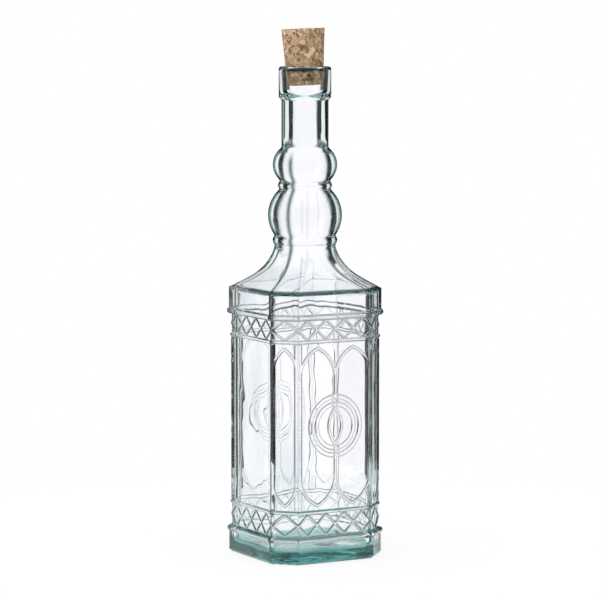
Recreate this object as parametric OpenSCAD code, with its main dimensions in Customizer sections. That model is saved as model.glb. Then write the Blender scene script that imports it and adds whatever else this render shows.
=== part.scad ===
// Pressed and blown glass bottle with a tapered cork.
// Millimetres, +Z up. The origin is the centre of the foot, on the surface the bottle stands on.
// The decorated wide faces look along -Y and +Y, the plain wide faces along -X and +X.

/* [Body] */
// Width across the flat wide faces, at the top band and at the foot
body_w = 80; // [74:0.5:90]
// Width of each of the four narrow corner faces, at the top band and at the foot
corner_w = 19; // [15:0.5:23]
// Height of the plain foot, up to the thick bead above it
foot_h = 13.6; // [11:0.2:17]
// Height and depth of the bevel round the bottom edge of the foot
foot_bevel = 2.6; // [1.5:0.1:3.5]
// Height of the lower lattice band, between its beads
low_lattice_h = 13.7; // [11:0.1:16]
// Height of the upper lattice band, between its beads
top_lattice_h = 12; // [10:0.1:15]
// Height of the tall panels between the two thin beads
panel_h = 103.3; // [90:0.1:120]
// Height of the plain top band
band_h = 13.1; // [10:0.1:17]
// How far the ground of panels and lattice bands lies behind the top band
ground_sink = 1.7; // [1.2:0.1:2.2]

/* [Beads] */
// Height of the thick beads above the foot and below the top band
thick_bead_h = 3.8; // [3:0.1:4.6]
// How far the thick beads stand out from the top band and the foot
thick_bead_out = 1.1; // [0.6:0.1:1.6]
// Height of the thin beads that frame the panels
thin_bead_h = 2.3; // [1.6:0.1:3]
// How far the thin beads stand out from the ground
thin_bead_out = 0.95; // [0.8:0.05:1.2]

/* [Relief] */
// Height of the lattice, arches and rings above the ground
relief_h = 0.5; // [0.3:0.05:0.7]
// Width of the flat vertical rib along each edge of the body, on each of its two faces
edge_rib_w = 2.2; // [1.6:0.1:3]
// Number of crosses in a lattice band on each wide face
wide_crosses = 4; // [3:1:6]
// Width of a lattice bar
lattice_bar_w = 1.2; // [0.8:0.1:1.6]
// Width of the bar that draws the pointed arches
arch_bar_w = 1.4; // [1:0.1:2]
// Height of the pointed part of an arch, from its springing line to its apex
arch_rise = 19.5; // [16:0.5:24]
// Height of the pointed part of the narrower arch on a corner face
corner_arch_rise = 15.5; // [12:0.5:20]
// Bare margin between the drawings and the edges of the face they lie on
relief_margin = 0.3; // [0.2:0.1:1]
// Gap from an arch's apex to the thin bead beyond it
arch_gap = 1.2; // [0.6:0.1:3]
// Radius of the outer ring of the medallion
medallion_r = 18.8; // [16:0.2:20]
// Width of each ring of the medallion
medallion_bar_w = 2.2; // [1.6:0.1:3]
// Gap between one ring of the medallion and the next
medallion_gap = 2; // [1.4:0.1:2.6]
// Half height of the pointed oval in the middle of the medallion
oval_rise = 11; // [9:0.2:12.5]
// Half width of that pointed oval
oval_half_w = 5; // [4:0.2:6]

/* [Shoulder and neck] */
// Height of the flared shoulder
shoulder_h = 25; // [21:0.5:32]
// Narrow ledge between the edge of the top band and the shoulder
shoulder_ledge = 0.5; // [0.3:0.1:1]
// Radius where the shoulder ends and the neck begins
neck_base_r = 19; // [17:0.2:20.5]
// Height from the top of the shoulder to the middle of the lower ring
ring2_rise = 4.6; // [4:0.1:6]
// Radius of the lower ring, at its outermost
ring2_r = 20.1; // [19.6:0.1:22]
// Half height of the lower ring
ring2_half_h = 3; // [2.4:0.1:3.4]
// Radius of the lower bulb, at its fullest
bulb2_r = 23; // [22:0.2:25]
// Radius of the arc that draws the side of the lower bulb
bulb2_arc = 21.6; // [20.8:0.1:22.4]
// Height from the middle of the lower ring to the middle of the lower bulb
bulb2_rise = 15.4; // [14.6:0.1:17]
// Radius of the upper ring, at its outermost
ring1_r = 16.8; // [16.2:0.1:18]
// Half height of the upper ring
ring1_half_h = 2.4; // [2:0.1:2.8]
// Height from the middle of the lower bulb to the middle of the upper ring
ring1_rise = 18.6; // [17.4:0.1:20]
// Radius of the waists above and below the upper ring
waist_r = 15.7; // [15:0.1:16]
// Radius of the upper bulb, at its fullest
bulb1_r = 20; // [19:0.2:22]
// Radius of the arc that draws the side of the upper bulb
bulb1_arc = 12.8; // [12:0.1:13.6]
// Height from the middle of the upper ring to the middle of the upper bulb
bulb1_rise = 12.8; // [12:0.2:14]
// Outer radius of the straight neck
neck_r = 14.6; // [13.4:0.1:15.4]
// Height of the straight neck, from the middle of the upper bulb to the lip
neck_h = 41.9; // [34:0.1:52]

/* [Lip and mouth] */
// Outer radius of the lip
lip_r = 16.3; // [15.8:0.1:17.6]
// Height of the lip
lip_h = 18.8; // [17:0.2:21]
// Rounding of the lip's upper edge
lip_round = 1.6; // [1:0.1:1.8]
// Radius of the bore through the straight neck
bore_r = 8.2; // [7:0.1:9.4]
// How far the tapered mouth reaches down from the rim
mouth_h = 16; // [14:0.1:17]
// Height of the curved step from the bore out to the tapered mouth
throat_h = 4.8; // [4:0.2:7]

/* [Wall] */
// Thickness of the glass in the body, measured behind the ground of the panels
wall = 3.6; // [3:0.1:4.4]
// Thickness of the glass in the shoulder and in the bulbs
neck_wall = 4; // [3.4:0.1:4.8]
// Height of the inside floor above the table
floor_h = 6.6; // [5.8:0.1:9]
// How much higher the inside floor is in its middle
floor_dome = 2.4; // [1.5:0.1:3.5]
// Rounding where the inside floor meets the walls
floor_round = 4; // [3:0.5:8]
// Radius of the hollow under the foot
punt_r = 31; // [26:0.5:33]
// Depth of the hollow under the foot
punt_depth = 3.2; // [2:0.1:4.5]

/* [Cork] */
// Diameter of the cork at its top
cork_top_d = 27; // [25.5:0.1:28]
// Diameter of the cork at its bottom
cork_bottom_d = 22.3; // [21:0.1:23.4]
// Length of the cork
cork_len = 35; // [28:0.5:42]
// How deep the cork stands in the mouth
cork_depth = 11.5; // [9:0.1:13]
// Bevel on both ends of the cork
cork_bevel = 0.5; // [0.3:0.1:0.8]
// Lean of the loosely placed cork, in degrees
cork_lean = 2.5; // [0:0.1:3]
// Direction in which the cork leans, in degrees about +Z from +X
cork_lean_dir = 151; // [0:1:359]
// Clearance between the cork and the mouth
cork_gap = 0.2; // [0.15:0.05:0.5]

/* [Hidden] */

$fn = 96;
flare_steps = 14;
deep = 4 * body_w;
sunk = 0.4;
octagon_turn = 22.5;
edge_grow = tan(octagon_turn);

body_half = body_w / 2;
ground_half = body_half - ground_sink;
rib_half = ground_half + relief_h + 0.1;
thin_bead_half = ground_half + thin_bead_out;
thick_bead_half = body_half + thick_bead_out;

bead4_z = foot_h + thick_bead_h / 2;
lattice2_z = foot_h + thick_bead_h;
bead3_z = lattice2_z + low_lattice_h + thin_bead_h / 2;
panel_z = bead3_z + thin_bead_h / 2;
bead2_z = panel_z + panel_h + thin_bead_h / 2;
lattice1_z = bead2_z + thin_bead_h / 2;
bead1_z = lattice1_z + top_lattice_h + thick_bead_h / 2;
band_z = bead1_z + thick_bead_h / 2;
band_top_z = band_z + band_h;
shoulder_top_z = band_top_z + shoulder_h;
ring2_z = shoulder_top_z + ring2_rise;
bulb2_z = ring2_z + bulb2_rise;
ring1_z = bulb2_z + ring1_rise;
bulb1_z = ring1_z + bulb1_rise;
lip_z = bulb1_z + neck_h;
top_z = lip_z + lip_h;

cork_bottom_r = cork_bottom_d / 2;
cork_top_r = cork_top_d / 2;
cork_z = top_z - cork_depth;
cork_taper = (cork_top_r - cork_bottom_r) / cork_len;
cork_drift = sin(cork_lean) * cork_depth / 2;
mouth_z = top_z - mouth_h;
cork_fit_r = cork_bottom_r + cork_gap + cork_drift;
mouth_low_r = cork_fit_r - cork_taper * (cork_z - mouth_z);
mouth_r = cork_fit_r + cork_taper * cork_depth + cork_gap / 4;
throat_z = mouth_z - throat_h;

// Half width of a wide face where the octagon is half wide across its flats
function wide_half(half) = body_half - corner_w / sqrt(2) + (half - body_half) * edge_grow;

// Distance from the axis to a corner face, for the same octagon
function corner_half(half) = (body_half + wide_half(body_half)) / sqrt(2) + half - body_half;

// Half width of a corner face, for the same octagon
function corner_face_half(half) = (half - wide_half(half)) / sqrt(2);

// One point of the shoulder's curve, from radius r0 at height z0 to radius r1 at height z1
function flare_point(t, r0, z0, r1, z1) =
    let (
        a = [r0, z0],
        b = [r0 - 0.37 * (r0 - r1), z0 + 0.23 * (z1 - z0)],
        c = [r1 + 0.12 * (r0 - r1), z0 + 0.38 * (z1 - z0)],
        d = [r1, z1]
    )
    pow(1 - t, 3) * a + 3 * pow(1 - t, 2) * t * b + 3 * (1 - t) * t * t * c + pow(t, 3) * d;

// The curve above a straight side, as the right-hand edge of a flat shape that starts at height low
function flare(low, r0, z0, r1, z1) = concat(
    [[-1, low], [r0, low]],
    [for (i = [0:flare_steps]) flare_point(i / flare_steps, r0, z0, r1, z1)],
    [[-1, z1]]
);

// Flat octagon, half wide across its flat wide faces
module octagon(half) {
    intersection() {
        square(2 * half, center = true);
        rotate(45) square(2 * corner_half(half), center = true);
    }
}

module octagon_slab(half, z, h) {
    translate([0, 0, z]) linear_extrude(h) octagon(half);
}

// A long bar whose cross-section is the drawn half profile and its mirror image
module profile_bar(turn) {
    rotate([90, 0, turn]) linear_extrude(deep, center = true) {
        children();
        mirror([1, 0]) children();
    }
}

// Octagonal slab whose rim is a half round, mitred at its eight edges
module bead(half, z, h) {
    module rim(reach) {
        translate([reach - h / 2, z]) circle(h / 2);
        translate([-1, z - h / 2]) square([reach - h / 2 + 1, h]);
    }
    intersection() {
        profile_bar(0) rim(half);
        profile_bar(90) rim(half);
        profile_bar(45) rim(corner_half(half));
        profile_bar(135) rim(corner_half(half));
    }
}

// Octagonal foot with a bevel round its bottom edge
module foot() {
    module side(reach) {
        polygon([
            [-1, 0], [reach - foot_bevel, 0], [reach, foot_bevel], [reach, bead4_z], [-1, bead4_z]
        ]);
    }
    intersection() {
        profile_bar(0) side(body_half);
        profile_bar(90) side(body_half);
        profile_bar(45) side(corner_half(body_half));
        profile_bar(135) side(corner_half(body_half));
    }
}

// Octagonal column that flares into a circle at its top, with ridges that fade as they climb
module flared_column(half, edge_r, low, z0, top_r, z1) {
    corner = corner_half(half);
    intersection() {
        profile_bar(0) polygon(flare(low, half, z0, top_r + 0.5, z1));
        profile_bar(90) polygon(flare(low, half, z0, top_r + 0.5, z1));
        profile_bar(45) polygon(flare(low, corner, z0, top_r + 0.7, z1));
        profile_bar(135) polygon(flare(low, corner, z0, top_r + 0.7, z1));
        rotate_extrude() intersection() {
            polygon(flare(low, edge_r, z0, top_r, z1));
            translate([0, low]) square([deep, z1 - low]);
        }
    }
}

// Shoulder, rooted in the top band
module shoulder() {
    half = body_half - shoulder_ledge;
    edge = norm([half, wide_half(half)]);
    flared_column(half, edge + 0.4, band_z, band_top_z, neck_base_r, shoulder_top_z);
}

// Panel zone: an octagon with a flat rib along each edge and each face sunk between its ribs
module panel_zone() {
    wide = 2 * (wide_half(rib_half) - edge_rib_w);
    narrow = 2 * (corner_face_half(rib_half) - edge_rib_w);
    translate([0, 0, bead3_z]) linear_extrude(bead2_z - bead3_z) difference() {
        octagon(rib_half);
        for (turn = [0:90:270]) {
            rotate(turn) translate([-wide / 2, ground_half]) square([wide, deep]);
            rotate(turn + 45) translate([-narrow / 2, corner_half(ground_half)]) square([narrow, deep]);
        }
    }
}

// Puts a flat drawing on a face as raised relief: x runs along the face and y up the bottle
module on_face(turn, reach) {
    rotate([0, 0, turn]) translate([0, -reach + sunk, 0]) rotate([90, 0, 0])
        linear_extrude(sunk + relief_h) children();
}

// A row of crosses in a band w wide and h high, whose bottom edge is at y = z
module lattice(w, h, z, count) {
    cell = w / count;
    intersection() {
        translate([-w / 2, z - 1]) square([w, h + 2]);
        for (i = [0:count - 1], side = [-1, 1])
            translate([-w / 2 + (i + 0.5) * cell, z + h / 2]) rotate(side * atan2(h, cell))
                square([2 * h, lattice_bar_w], center = true);
    }
}

// Filled shape of a tall panel with a pointed arch at both ends, inset by a margin on all sides
module arch_shape(w, z0, z1, rise, inset) {
    half = w / 2;
    arc = (half * half + rise * rise) / w;
    for (end = [[z1 - rise, 1], [z0 + rise, -1]]) {
        translate([0, end[0]]) intersection() {
            translate([arc - half, 0]) circle(arc - inset);
            translate([half - arc, 0]) circle(arc - inset);
            translate([-half, end[1] > 0 ? 0 : -rise]) square([w, rise]);
        }
    }
    translate([-half + inset, z0 + rise]) square([w - 2 * inset, z1 - z0 - 2 * rise]);
}

// Outline of the same shape, as a bar of even width
module arch(w, z0, z1, rise) {
    difference() {
        arch_shape(w, z0, z1, rise, 0);
        arch_shape(w, z0, z1, rise, arch_bar_w);
    }
}

module ring(r, bar) {
    difference() {
        circle(r);
        circle(r - bar);
    }
}

// Pointed oval, drawn by two arcs that cross at its ends
module oval(half_w, rise) {
    arc = (half_w * half_w + rise * rise) / (2 * half_w);
    intersection() {
        translate([arc - half_w, 0]) circle(arc);
        translate([half_w - arc, 0]) circle(arc);
    }
}

// Two rings round a pointed oval that has a smaller pointed oval cut out of it
module medallion() {
    ring(medallion_r, medallion_bar_w);
    ring(medallion_r - medallion_bar_w - medallion_gap, medallion_bar_w);
    difference() {
        oval(oval_half_w, oval_rise);
        oval(oval_half_w - medallion_bar_w, oval_rise - 2 * medallion_bar_w);
    }
}

// Drawing on a decorated wide face: two arches side by side and the medallion over them
module decorated_panel() {
    w = wide_half(ground_half) - relief_margin;
    mid_z = panel_z + panel_h / 2;
    difference() {
        for (side = [-1, 1])
            translate([side * (w - arch_bar_w / 2) / 2, 0])
                arch(w + arch_bar_w / 2, panel_z + arch_gap, panel_z + panel_h - arch_gap, arch_rise);
        translate([0, mid_z]) circle(medallion_r);
    }
    translate([0, mid_z]) medallion();
}

module corner_panel() {
    w = 2 * (corner_face_half(ground_half) - relief_margin);
    arch(w, panel_z + arch_gap, panel_z + panel_h - arch_gap, corner_arch_rise);
}

module relief() {
    wide = 2 * (wide_half(ground_half) - relief_margin);
    narrow = 2 * (corner_face_half(ground_half) - relief_margin);
    for (turn = [0, 180]) on_face(turn, ground_half) decorated_panel();
    for (turn = [0:90:270], band = [[lattice2_z, low_lattice_h], [lattice1_z, top_lattice_h]]) {
        on_face(turn, ground_half) lattice(wide, band[1], band[0], wide_crosses);
        on_face(turn + 45, corner_half(ground_half)) lattice(narrow, band[1], band[0], 1);
    }
    for (turn = [0:90:270]) on_face(turn + 45, corner_half(ground_half)) corner_panel();
}

// Half profile of a bulb or a ring: a disc of radius arc whose outermost point is at radius reach
module round_side(reach, z, arc) {
    intersection() {
        translate([reach - arc, z]) circle(arc);
        translate([0, z - arc]) square([reach + 1, 2 * arc]);
    }
}

// Outside of the neck, from the top of the shoulder to the lip
module neck_outside() {
    rotate_extrude() {
        translate([0, shoulder_top_z - 1]) square([neck_base_r, ring2_rise + 1]);
        round_side(ring2_r, ring2_z, ring2_half_h);
        round_side(bulb2_r, bulb2_z, bulb2_arc);
        translate([0, ring1_z - ring1_half_h - 1]) square([waist_r, 2 * ring1_half_h + 2]);
        round_side(ring1_r, ring1_z, ring1_half_h);
        round_side(bulb1_r, bulb1_z, bulb1_arc);
        translate([0, bulb1_z]) square([neck_r, neck_h + 1]);
        lip_profile();
    }
}

// Lip with a short cone under it and a rounded upper edge
module lip_profile() {
    under = lip_r - neck_r;
    polygon([[0, lip_z - under], [neck_r, lip_z - under], [lip_r, lip_z], [0, lip_z]]);
    translate([0, lip_z]) square([lip_r, lip_h - lip_round]);
    translate([0, lip_z]) square([lip_r - lip_round, lip_h]);
    translate([lip_r - lip_round, top_z - lip_round]) circle(lip_round);
}

// Space inside the neck, from the shoulder to the mouth
module neck_inside() {
    rotate_extrude() {
        translate([0, shoulder_top_z - 3]) square([neck_base_r - neck_wall, ring2_rise + 6]);
        round_side(bulb2_r - neck_wall, bulb2_z, bulb2_arc - neck_wall);
        translate([0, bulb2_z]) square([waist_r - neck_wall, bulb1_z - bulb2_z]);
        round_side(bulb1_r - neck_wall, bulb1_z, bulb1_arc - neck_wall);
        translate([0, bulb1_z]) square([bore_r, throat_z - bulb1_z + 0.5]);
        throat_profile();
        polygon([
            [0, mouth_z - 0.5], [mouth_low_r, mouth_z - 0.5], [mouth_low_r, mouth_z],
            [mouth_r, top_z], [mouth_r, top_z + 1], [0, top_z + 1]
        ]);
    }
}

// Curved step that opens the bore out to the tapered mouth
module throat_profile() {
    step = mouth_low_r - bore_r;
    arc = (step * step + throat_h * throat_h) / (2 * step);
    difference() {
        translate([0, throat_z]) square([mouth_low_r, throat_h]);
        translate([bore_r + arc, throat_z]) circle(arc);
    }
}

// Space inside the body, with a domed and rounded floor, rounded corners and a flared top
module body_inside() {
    half = ground_half - wall;
    round_r = corner_half(half) + 0.6;
    flared_column(half, round_r, bead3_z, band_top_z - 2, neck_base_r - neck_wall, shoulder_top_z - 1);
    module side(reach) {
        translate([-1, floor_h + floor_round]) square([reach + 1, bead2_z - floor_h - floor_round]);
        translate([-1, floor_h]) square([reach + 1 - floor_round, floor_round + 1]);
        translate([reach - floor_round, floor_h + floor_round]) circle(floor_round);
    }
    difference() {
        intersection() {
            profile_bar(0) side(half);
            profile_bar(90) side(half);
            profile_bar(45) side(corner_half(half));
            profile_bar(135) side(corner_half(half));
            cylinder(r = round_r, h = deep);
        }
        domed_floor(half - floor_round - 1);
    }
}

// Rise in the middle of the inside floor, a part of a large ball
module domed_floor(reach) {
    ball = (reach * reach + floor_dome * floor_dome) / (2 * floor_dome);
    translate([0, 0, floor_h + floor_dome - ball]) sphere(ball, $fn = 200);
}

// Shallow hollow under the foot, a part of a large ball
module punt() {
    ball = (punt_r * punt_r + punt_depth * punt_depth) / (2 * punt_depth);
    translate([0, 0, punt_depth - ball]) sphere(ball, $fn = 200);
}

module glass_bottle() {
    color([0.66, 0.82, 0.79, 0.6]) difference() {
        union() {
            foot();
            bead(thick_bead_half, bead4_z, thick_bead_h);
            octagon_slab(ground_half, bead4_z, bead3_z - bead4_z);
            bead(thin_bead_half, bead3_z, thin_bead_h);
            panel_zone();
            bead(thin_bead_half, bead2_z, thin_bead_h);
            octagon_slab(ground_half, bead2_z, bead1_z - bead2_z);
            bead(thick_bead_half, bead1_z, thick_bead_h);
            octagon_slab(body_half, bead1_z, band_top_z - bead1_z);
            shoulder();
            neck_outside();
            relief();
        }
        body_inside();
        neck_inside();
        punt();
    }
}

// Tapered cork, standing a little askew in the mouth
module cork_stopper() {
    color([0.78, 0.62, 0.45]) translate([0, 0, cork_z])
        rotate([0, 0, cork_lean_dir]) translate([-cork_drift, 0, 0]) rotate([0, cork_lean, 0])
            rotate_extrude() polygon([
                [0, 0], [cork_bottom_r - cork_bevel, 0], [cork_bottom_r, cork_bevel],
                [cork_top_r, cork_len - cork_bevel], [cork_top_r - cork_bevel, cork_len], [0, cork_len]
            ]);
}

glass_bottle();
cork_stopper();
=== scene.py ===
import math

import bpy
import numpy as np
from mathutils import Matrix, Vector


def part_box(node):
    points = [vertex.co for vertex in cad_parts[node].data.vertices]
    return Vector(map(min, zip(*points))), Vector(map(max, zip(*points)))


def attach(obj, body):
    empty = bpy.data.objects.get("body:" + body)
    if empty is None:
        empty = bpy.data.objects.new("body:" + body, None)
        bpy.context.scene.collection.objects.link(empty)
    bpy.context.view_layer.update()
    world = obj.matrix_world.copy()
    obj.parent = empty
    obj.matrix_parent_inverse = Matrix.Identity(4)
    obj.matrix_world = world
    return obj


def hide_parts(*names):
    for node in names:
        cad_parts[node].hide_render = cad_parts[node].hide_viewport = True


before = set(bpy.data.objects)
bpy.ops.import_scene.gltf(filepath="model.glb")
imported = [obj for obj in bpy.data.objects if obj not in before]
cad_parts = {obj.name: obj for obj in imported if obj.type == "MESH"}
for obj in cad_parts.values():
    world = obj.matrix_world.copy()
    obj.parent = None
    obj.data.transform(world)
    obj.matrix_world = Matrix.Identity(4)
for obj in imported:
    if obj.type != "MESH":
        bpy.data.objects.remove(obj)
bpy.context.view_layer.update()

TURN = 2 * math.pi
EIGHTH = math.pi / 4

# Outline of a disc where there is none
NO_DISC = -50.0

# Sizes in millimetres, as in the CAD. The box of the glass gives the driving ones.
MM = 0.001
_, glass_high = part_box("glass_bottle")
TOP_Z = glass_high[2] / MM
THICK_OUT = 1.1
BODY_HALF = glass_high[0] / MM - THICK_OUT
CORNER_W = 19.0
WIDE_HALF = BODY_HALF - CORNER_W / math.sqrt(2)
CORNER_HALF = (BODY_HALF + WIDE_HALF) / math.sqrt(2)
GROUND_HALF = BODY_HALF - 1.7
THIN_OUT = 0.95
RELIEF = 0.6
FOOT_BEVEL = 2.6

# Roundings: the body's upright edges, the upper edge of the plain band, and where beads meet the body
EDGE_ROUND = 1.0
BAND_EDGE_ROUND = 0.6
THICK_BLEND = 0.35
THIN_BLEND = 0.3

# Notches round the bearing edge of the foot
SCALLOPS = 56
SCALLOP_DEPTH = 0.6

# Heights of the bands, from the table up
FOOT_H = 13.6
THICK_H = 3.8
THIN_H = 2.3
LOW_LATTICE_H = 13.7
TOP_LATTICE_H = 12.0
PANEL_H = 103.3
BAND_H = 13.1
SHOULDER_H = 25.0
BEAD4_Z = FOOT_H + THICK_H / 2
LOW_LATTICE_Z = FOOT_H + THICK_H
LOW_LATTICE_TOP = LOW_LATTICE_Z + LOW_LATTICE_H
BEAD3_Z = LOW_LATTICE_TOP + THIN_H / 2
PANEL_Z = BEAD3_Z + THIN_H / 2
PANEL_TOP = PANEL_Z + PANEL_H
BEAD2_Z = PANEL_TOP + THIN_H / 2
TOP_LATTICE_Z = BEAD2_Z + THIN_H / 2
TOP_LATTICE_TOP = TOP_LATTICE_Z + TOP_LATTICE_H
BEAD1_Z = TOP_LATTICE_TOP + THICK_H / 2
BEAD1_TOP = BEAD1_Z + THICK_H / 2
BAND_TOP = BEAD1_TOP + BAND_H
SHOULDER_TOP = BAND_TOP + SHOULDER_H
SHOULDER_LEDGE = 0.9

# Neck: height of the middle, outermost radius and arc radius of each ring and bulb
RING2 = (SHOULDER_TOP + 4.6, 20.1, 3.0)
BULB2 = (RING2[0] + 15.4, 23.0, 21.6)
RING1 = (BULB2[0] + 18.6, 16.8, 2.4)
BULB1 = (RING1[0] + 12.8, 20.0, 12.8)
NECK_BASE_R = 19.0
WAIST_R = 15.7
NECK_R = 14.6
NECK_FILLET = 1.4
LIP_R = 16.3
LIP_Z = BULB1[0] + 41.9
LIP_ROUND = 1.4

# Inside of the bulbs: height, outermost radius and arc radius
BULB2_IN = (BULB2[0], 17.8, 19.0)
BULB1_IN = (BULB1[0], 14.8, 15.5)
INSIDE_FILLET = 4.0

# Inside, from the walls of the body up to the flared rim of the mouth
WALL = 3.6
CORNER_ROUND_IN = 11.0
NECK_WALL = 4.0
INSIDE_LOW = BAND_TOP - 2.0
INSIDE_TOP = SHOULDER_TOP - 1.0
FLOOR_H = 6.6
FLOOR_DOME = 2.4
FLOOR_ROUND = 4.0
BORE_R = 8.2
BORE_FLARE_H = 18.0
MOUTH_H = 16.0
MOUTH_FLARE = 1.15
MOUTH_FLARE_H = 2.7
THROAT_H = 4.8
MOUTH_Z = TOP_Z - MOUTH_H
THROAT_Z = MOUTH_Z - THROAT_H
PUNT_R = 31.0
PUNT_DEPTH = 3.2

# Waves of the inside walls and of the bore, with the seeds that draw them
WALL_WAVE = 0.3
WALL_SEED = 11
BORE_WAVE = 0.1
BORE_SEED = 5

# Fine waves: how much denser and how much lower they are
FINE = 4
FINE_LESS = 11

# Cork: it stands a little askew in the mouth
CORK_TOP_R = 13.5
CORK_BOTTOM_R = 11.15
CORK_LEN = 35.0
CORK_DEPTH = 11.5
CORK_GAP = 0.2
CORK_LEAN = math.radians(2.5)
CORK_LEAN_TURN = math.radians(151)
CORK_BEVEL = 0.5
CORK_TAPER = (CORK_TOP_R - CORK_BOTTOM_R) / CORK_LEN
CORK_DRIFT = math.sin(CORK_LEAN) * CORK_DEPTH / 2
CORK_FIT_R = CORK_BOTTOM_R + CORK_GAP + CORK_DRIFT
MOUTH_R = CORK_FIT_R + CORK_TAPER * CORK_DEPTH
MOUTH_LOW_R = CORK_FIT_R - CORK_TAPER * (MOUTH_H - CORK_DEPTH)
CORK_STEP = 0.25
CORK_END_STEP = 0.4
CORK_COLUMNS = 230
GRANULES = 1500
CRUMBS = 1100
CORK_SEED = 21

# Drawings on the faces
EDGE_RIB_W = 2.2
RELIEF_MARGIN = 0.3
WIDE_CROSSES = 4
LATTICE_BAR = 1.1
ARCH_BAR = 1.5
ARCH_RISE = 19.5
CORNER_ARCH_RISE = 15.5
ARCH_GAP = 2.2
MEDALLION_R = 18.6
MEDALLION_BAR = 2.4
MEDALLION_GAP = 2.0
MEDALLION_SQUEEZE = 0.96
OVAL_HALF_W = 5.2
OVAL_RISE = 11.5
OVAL_BAR = 1.5
SOFT_EDGE = 0.45

# How dark the painted shade on the lines is, where the painted streak up one edge is 1: relief, what its
# level parts and the back have less, the edges between two faces, and what the shoulder's ledge has less
# at the back
RELIEF_DARK = 0.92
LEVEL_LESS = 0.5
BACK_LESS = 0.55
EDGE_DARK = 0.25
LEDGE_BACK_LESS = 0.6

# Tints of the glass: painted shade where it turns edge on, partly for its longer path there, painted
# shade on dark lines and in mottled patches, blue-green with painted shade in the thick foot, and all
# through
EDGE_ON_SHADE = (0.04, 0.13, 0.13, 1)
LINE_SHADE_COLOUR = (0.008, 0.042, 0.042, 1)
MOTTLED_SHADE = (0.8, 0.86, 0.88, 1)
FOOT_TINT_AND_SHADE = (0.1, 0.39, 0.37, 1)
THROUGH_TINT = (0.35, 0.79, 0.81, 1)
CLEAR = (1, 1, 1, 1)

# Cork: the reddest to the palest granules, their specks, and the grooves and pits between them
GRANULE_COLOURS = (
    (0.0, (0.24, 0.14, 0.08, 1)), (0.25, (0.48, 0.32, 0.19, 1)),
    (0.7, (0.60, 0.43, 0.26, 1)), (1.0, (0.82, 0.65, 0.46, 1)),
)
SPECK_COLOUR = (0.26, 0.13, 0.07, 1)
PIT_COLOUR = (0.09, 0.045, 0.02, 1)

# Where the soft light on the cork and the floor comes from
KEY_LIGHT = (-0.75, -0.45, 0.48)

# The photograph's camera: metres from the axis and above the table, its turn round the axis, down
# and aside, and its lens in millimetres
CAMERA_AWAY = 1.946
CAMERA_HEIGHT = 0.3537
CAMERA_ROUND = math.radians(29.06)
CAMERA_PITCH = math.radians(5.65)
CAMERA_PAN = math.radians(0.082)
CAMERA_LENS = 187.7

# Floor: metres across and below the foot, the painted shadow that glass sees under the foot, and how
# bright it is
FLOOR_R = 0.3
FLOOR_DROP = 0.0002
UNDER_FOOT_SHADOW = 0.85
FLOOR_GLOW = 0.84

# Brightness round the studio, by degrees from +Y towards +X. The photograph looks along 29 degrees.
# VIEW rows are seen through the glass: level at the neck, down at the body, and steeply down.
# OFF rows are seen in reflections: off the outside, and inside the glass of the neck and the body.
# The body's rows set in over LOW_DEGREES of height, the steep row and the ceiling over theirs.
LOW_DEGREES = (-4.6, -5.4)
STEEP_DEGREES = (-10.8, -12.5)
CEILING_DEGREES = (20.0, 32.0)
CEILING = (0.3, 0.3, 0.3, 1)
DARK = 0.012
THROUGH_DARK = (0.007, 0.018, 0.018, 1)
THROUGH_WHITE = (1.16, 1.12, 1.16, 1)

# Middles of the narrow windows between the flags. The wide one in front of the camera is apart.
WINDOWS = (-180, -135, -90, -45, 90, 135, 180)
NECK_WINDOWS = [(middle, 3) for middle in WINDOWS]
BODY_WINDOWS = [(middle, 4) for middle in WINDOWS if middle != 90]
STEEP_WINDOWS = [(middle, 12 if abs(middle) == 180 else 11) for middle in WINDOWS]


def view_row(dark, soft, windows, others):
    """Dark all round but for windows, each a middle and half width, and for the stops in others."""
    stops = [(-180, 1.0), (180, 1.0), *others]
    for middle, half in windows:
        stops += [(middle - half - soft, dark), (middle - half, 1.0)]
        stops += [(middle + half, 1.0), (middle + half + soft, dark)]
    return sorted(stop for stop in stops if abs(stop[0]) <= 180)


NECK_VIEW = view_row(0, 2, NECK_WINDOWS, ((-9, 0), (-4, 0.9), (8, 1.0), (46, 1.0), (61, 0.7), (67, 0)))
BODY_VIEW = view_row(0, 1.5, BODY_WINDOWS, (
    (4, 0), (14, 1.0), (44, 1.0), (54, 0), (86, 0), (87.5, 1.0), (93, 1.0), (95, 0),
))
STEEP_VIEW = view_row(0.2, 4, STEEP_WINDOWS, ((-15, 0.2), (-11, 1.0), (56, 1.0), (60, 0.2)))
OFF_OUTSIDE = (
    (-180, 0.02), (-43, 0.02), (-38, 0.9), (-20, 0.9), (-15, 0.02),
    (138, 0.02), (143, 0.9), (160, 0.9), (165, 0.02), (180, 0.02),
)
OFF_NECK = (
    (-180, DARK), (-11, DARK), (-5, 1.0), (61, 1.0), (67, DARK), (180, DARK),
)
OFF_BODY = (
    (-180, DARK), (4, DARK), (12, 1.0), (46, 1.0), (54, DARK),
    (138, DARK), (142, 1.0), (160, 1.0), (164, DARK), (180, DARK),
)


# Outlines of the cross-sections

def smoothstep(low, high, x):
    """0 at low, 1 at high, smooth between and level past both."""
    t = np.clip((x - low) / (high - low), 0, 1)
    return t * t * (3 - 2 * t)


def fold_at(angle):
    """Angle from the middle of the nearest wide face."""
    return np.abs((angle + EIGHTH) % (2 * EIGHTH) - EIGHTH)


def face_at(angle, on_wide):
    """Direction in which the nearest wide face looks, or else the corner face at that angle."""
    wide = 2 * EIGHTH * np.round(angle / (2 * EIGHTH))
    corner = EIGHTH * (2 * np.floor(angle / (2 * EIGHTH)) + 1)
    return np.where(on_wide, wide, corner)


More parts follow.
